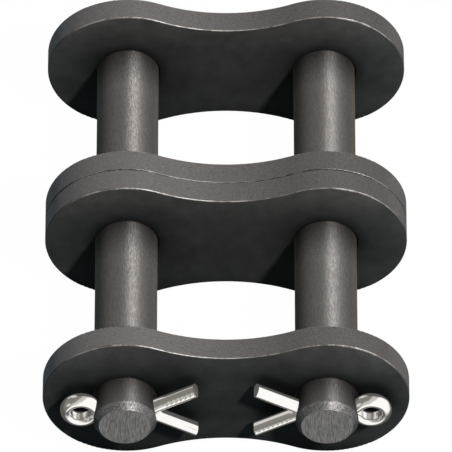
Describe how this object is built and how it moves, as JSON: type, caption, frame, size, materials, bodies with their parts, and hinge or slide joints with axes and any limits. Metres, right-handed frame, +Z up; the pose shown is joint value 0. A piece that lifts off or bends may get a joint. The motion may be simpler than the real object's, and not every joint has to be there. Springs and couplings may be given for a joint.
{
  "type": "double-strand roller chain connecting link",
  "caption": "Cotter type connecting link for a double-strand roller chain: waisted plates on two long pins, locked by bent split pins.",
  "frame": {"origin": "on the ground that the link stands on, under the middle of its overall length and depth", "axes": "+X along the plates from the left pin to the right, +Y along the pins from the cotters to the rear plate, +Z up"},
  "size_m": [0.0462, 0.0648, 0.0208],
  "materials": {
    "blackened_plate": "matt black oxide on stamped, tumbled steel",
    "ground_pin": "dark hardened steel with fine lengthwise grinding marks",
    "bright_cotter": "bright nickel on steel wire"
  },
  "bodies": {
    "pinned_frame": {"rear_plate": "blackened_plate", "pin_left": "ground_pin", "pin_right": "ground_pin", "cotter_pin_left": "bright_cotter", "cotter_pin_right": "bright_cotter"},
    "rear_middle": {"middle_plate_rear": "blackened_plate"},
    "front_middle": {"middle_plate_front": "blackened_plate"},
    "cover": {"cover_plate": "blackened_plate"}
  },
  "joints": [
    {"name": "cover_plate_slide", "type": "slide", "parent": "pinned_frame", "child": "cover", "axis": [0, 1, 0], "range_m": [-0.0008, 0.0114]},
    {"name": "middle_plate_front_slide", "type": "slide", "parent": "pinned_frame", "child": "front_middle", "axis": [0, -1, 0], "range_m": [0, 0.0114]},
    {"name": "middle_plate_rear_slide", "type": "slide", "parent": "pinned_frame", "child": "rear_middle", "axis": [0, 1, 0], "range_m": [0, 0.0228]}
  ]
}
